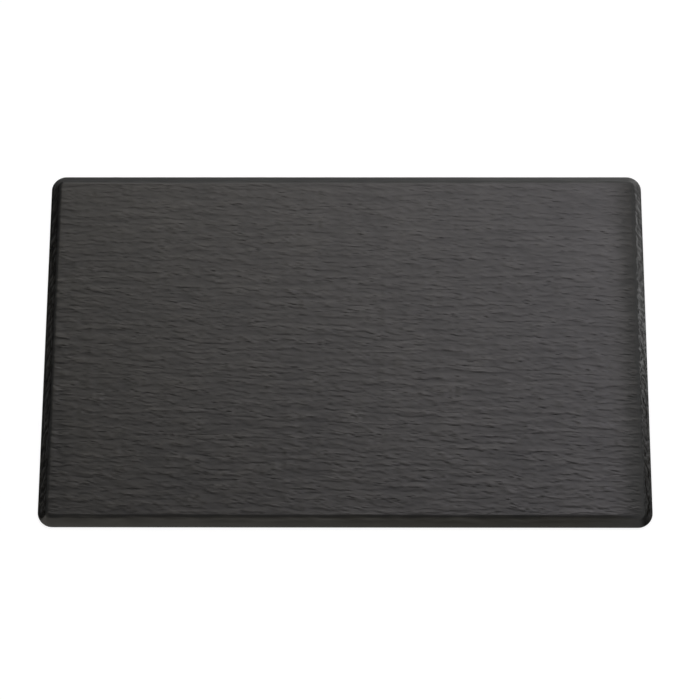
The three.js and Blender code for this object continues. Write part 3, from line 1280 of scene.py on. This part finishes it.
@dataclass(frozen=True)
class StudioPanel:
    """Flat panel of the studio, seen from its front only; its glow may swell and its tint change."""

    name: str
    centre: Triple
    width: float
    height: float
    glow: float
    facing: Facing
    swell: Triple = (0.0, 0.0, 0.0)  # growth of the glow's logarithm per metre
    tint: Triple = (1.0, 1.0, 1.0)
    peak: float = 2.8  # the glow swells up to this
    right_tint: Triple | None = None  # at the right edge, if the tint changes across
    part: Light = Light.GLOSS

    def build(self) -> bpy.types.Object:
        """Stands the panel up, hidden from the camera.

        The panel's side direction is the cross product of up and the facing.

        Returns:
            The panel.
        """
        facing = Vector(self.facing.value)
        up = Vector((0.0, 1.0, 0.0)) if facing.z else Vector((0.0, 0.0, 1.0))
        side = up.cross(facing)
        signs = ((-0.5, -0.5), (0.5, -0.5), (0.5, 0.5), (-0.5, 0.5))
        corners = [tuple(Vector(self.centre) + side * (self.width * a) + up * (self.height * b))
                   for a, b in signs]
        panel, sheet = stage_card(self.name, corners)
        glow = sheet.add("ShaderNodeEmission", Color=self.colour(sheet), Strength=self.strength(sheet))
        clear_behind(sheet, glow.outputs[0])
        panel.visible_camera = False
        panel.visible_transmission = False
        if self.part is Light.GLOSS:
            panel.visible_diffuse = False
            panel.visible_shadow = False
        return panel

    def colour(self, sheet: NodeSheet) -> bpy.types.NodeSocket | tuple[float, ...]:
        """Tint of the glow, which may go over evenly from the left edge to the right edge.

        Args:
            sheet: The panel material's node sheet.

        Returns:
            The colour's socket, or its value where the tint is the same all over.
        """
        if self.right_tint is None:
            return (*self.tint, 1.0)
        place = sheet.add("ShaderNodeTexCoord").outputs["Object"]
        x = sheet.add("ShaderNodeSeparateXYZ", Vector=place).outputs["X"]
        edges = (self.centre[0] - 0.5 * self.width, self.centre[0] + 0.5 * self.width)
        return sheet.ramp(sheet.span(x, edges, (0.0, 1.0)), [(0.0, self.tint), (1.0, self.right_tint)])

    def strength(self, sheet: NodeSheet) -> bpy.types.NodeSocket | float:
        """Glow at the centre times the exponential of the swell along the way from there, up to the peak.

        Args:
            sheet: The panel material's node sheet.

        Returns:
            The strength's socket, or its value where the panel glows evenly.
        """
        if not any(self.swell):
            return self.glow
        place = sheet.add("ShaderNodeTexCoord").outputs["Object"]
        dot = sheet.wire("ShaderNodeVectorMath", place, self.swell, operation="DOT_PRODUCT")
        along = dot.node.outputs["Value"]
        level = math.log(self.glow) - sum(a * b for a, b in zip(self.swell, self.centre))
        grown = sheet.math("EXPONENT", sheet.math("ADD", along, level))
        return sheet.math("MINIMUM", grown, self.peak)


@dataclass(frozen=True)
class PhotoCamera:
    """Camera at the photograph's viewing angle: a long lens high above the front of the tray."""

    lens: float = 128.571  # millimetres on a 36 mm sensor
    place: Triple = (0.0225, -0.6981, 2.0904)
    elevation: float = math.radians(71.549)
    azimuth: float = math.radians(1.527)
    roll: float = math.radians(1.414)
    clip: Pair = (0.05, 60.0)

    def build(self) -> bpy.types.Object:
        """Points the camera along its elevation and azimuth, then turns it about that line by the roll.

        Returns:
            The camera, set as the scene's.
        """
        forward = Vector((-math.sin(self.azimuth) * math.cos(self.elevation),
                          math.cos(self.azimuth) * math.cos(self.elevation), -math.sin(self.elevation)))
        level = forward.cross(Vector((0.0, 0.0, 1.0))).normalized()
        down = forward.cross(level)
        right = math.cos(self.roll) * level + math.sin(self.roll) * down
        up = math.sin(self.roll) * level - math.cos(self.roll) * down
        turn = Matrix((right, up, -forward)).transposed().to_4x4()
        data = bpy.data.cameras.new("photo_camera")
        data.lens = self.lens
        data.clip_start, data.clip_end = self.clip
        camera = bpy.data.objects.new("photo_camera", data)
        camera.matrix_world = Matrix.Translation(self.place) @ turn
        bpy.context.scene.collection.objects.link(camera)
        bpy.context.scene.camera = camera
        return camera


@dataclass
class Studio:
    """White sweep with an overhead softbox, and flags and cards that only show in the tray's gloss."""

    floor_half: float = 15.0
    floor_colour: float = 0.8
    ambient: float = 0.5
    white_glow: float = 0.82  # the floor's own share of its white in the camera's view
    shadow_colour: float = 0.3  # the share that the light gives, which the tray's shadow takes away
    panels: list[StudioPanel] = field(default_factory=lambda: [
        StudioPanel("overhead_softbox", (0.15, 1.6, 3.75), 4.7, 3.4, 1.76, Facing.DOWN, (0.95, 1.08, 0.0),
                    (1.0, 0.945, 0.72), right_tint=(1.0, 0.962, 1.16), part=Light.LAMP),
        StudioPanel("ceiling_flag", (0.0, -3.05, 4.3), 18.0, 11.9, 0.15, Facing.DOWN),
        StudioPanel("left_flag", (-3.25, 3.3, 2.1), 8.4, 4.2, 0.66, Facing.RIGHT, (0.0, 0.0, 2.2), peak=0.22),
        StudioPanel("left_corner_flag", (-3.25, -1.45, 2.1), 1.1, 4.2, 0.6, Facing.RIGHT, (0.0, 0.0, -0.3),
                    (1.0, 0.95, 0.87)),
        StudioPanel("front_left_flag", (-3.6, -4.5, 2.1), 7.2, 4.2, 0.70, Facing.BACK, (0.0, 0.0, -0.3),
                    (1.0, 0.95, 0.87)),
        StudioPanel("front_right_flag", (3.0, -4.5, 2.1), 6.0, 4.2, 0.2, Facing.BACK, (0.0, 0.0, -0.3),
                    (1.0, 0.93, 0.68)),
        StudioPanel("right_flag", (5.5, 0.0, 2.6), 15.0, 3.3, 0.45, Facing.LEFT),
        StudioPanel("right_card", (0.295, 0.0, 0.06), 0.076, 1.2, 0.72, Facing.DOWN),
        StudioPanel("back_panel", (0.0, 6.5, 3.3), 15.0, 4.2, 1.15, Facing.FRONT, (0.08, 0.0, 0.0)),
        StudioPanel("back_flag", (0.0, 6.4, 0.55), 15.0, 1.1, 0.20, Facing.FRONT),
        StudioPanel("left_floor_flag", (-0.79, 0.0, FLOOR_GAP), 1.0, 2.0, 0.02, Facing.UP),
        StudioPanel("left_strip", (-0.2775, 0.0, FLOOR_GAP), 0.025, 1.4, 0.2, Facing.UP),
        StudioPanel("back_floor_flag", (0.1, 0.66, FLOOR_GAP), 2.4, 1.0, 0.48, Facing.UP, (1.4, 0.0, 0.0)),
        StudioPanel("right_strip", (0.28, 0.0, FLOOR_GAP), 0.03, 1.4, 0.2, Facing.UP, (0.0, 18.0, 0.0),
                    peak=1.5),
        StudioPanel("right_floor_flag", (0.36, 0.0, FLOOR_GAP), 0.13, 1.4, 0.43, Facing.UP, (0.0, 10.7, 0.0),
                    peak=1.35),
        StudioPanel("right_side_card", (0.425, 0.0, 0.06), 1.4, 0.12, 0.33, Facing.LEFT, (0.0, 5.0, 0.0),
                    peak=0.6),
        StudioPanel("right_band", (0.42, -0.29, 0.0285), 0.8, 0.033, 0.1, Facing.LEFT, (0.0, 10.0, 0.0),
                    peak=3.0),
    ])

    def white_rays(self, sheet: NodeSheet) -> bpy.types.NodeSocket:
        """Picks the rays that see the background: from the camera, from gloss and through glass.

        Args:
            sheet: The node sheet that the value is for.

        Returns:
            The value's socket, 1 for such rays and 0 for the rest.
        """
        path = sheet.add("ShaderNodeLightPath")
        seen = sheet.math("MAXIMUM", path.outputs["Is Camera Ray"], path.outputs["Is Glossy Ray"])
        return sheet.math("MAXIMUM", seen, path.outputs["Is Transmission Ray"])

    def build_world(self) -> None:
        """White behind everything that is seen, and a plain dim grey as light on the tray."""
        world = bpy.data.worlds.new("white_sweep")
        world.use_nodes = True
        bpy.context.scene.world = world
        sheet = NodeSheet(world.node_tree)
        dim, white = (sheet.wire("ShaderNodeBackground", (1.0, 1.0, 1.0, 1.0), strength)
                      for strength in (self.ambient, 1.0))
        mix = sheet.wire("ShaderNodeMixShader", self.white_rays(sheet), dim, white)
        sheet.add("ShaderNodeOutputWorld", Surface=mix)

    def build_floor(self) -> bpy.types.Object:
        """Pale floor that shows white with the tray's soft shadow, and is clear from below.

        Returns:
            The floor.
        """
        reach = self.floor_half
        floor, sheet = stage_card("pale_floor", [(-reach, -reach, 0.0), (reach, -reach, 0.0),
                                                 (reach, reach, 0.0), (-reach, reach, 0.0)])
        matt, faint = (sheet.wire("ShaderNodeBsdfDiffuse", (*[grey] * 3, 1.0))
                       for grey in (self.floor_colour, self.shadow_colour))
        glow = sheet.wire("ShaderNodeEmission", (1.0, 1.0, 1.0, 1.0), self.white_glow)
        white = sheet.wire("ShaderNodeAddShader", faint, glow)
        clear_behind(sheet, sheet.wire("ShaderNodeMixShader", self.white_rays(sheet), matt, white))
        return floor

    def build(self) -> None:
        """Sets the view transform and builds the world, the floor and the panels."""
        bpy.context.scene.view_settings.view_transform = "Standard"
        self.build_world()
        self.build_floor()
        for panel in self.panels:
            panel.build()


def main() -> None:
    """Builds the camera, the studio, the feet and the shell, and reports each piece."""
    logging.basicConfig(level=logging.INFO, format="%(name)s: %(message)s")
    PhotoCamera().build()
    Studio().build()
    silicone, adhesive = SiliconeFinish().material(), AdhesiveFinish().material()
    feet = [AntiSlipFoot(row, column) for row in FootRow for column in FootColumn]
    pieces = [foot.build(silicone) for foot in feet] + [foot.dress_adhesive(adhesive) for foot in feet]
    pieces.append(TrayShell(feet).build(RivenRelief(), MelamineFinish().material()))
    for piece in pieces:
        LOG.info("%s: %d points, %d faces", piece.name, len(piece.data.vertices), len(piece.data.polygons))


if __name__ == "__main__":
    main()
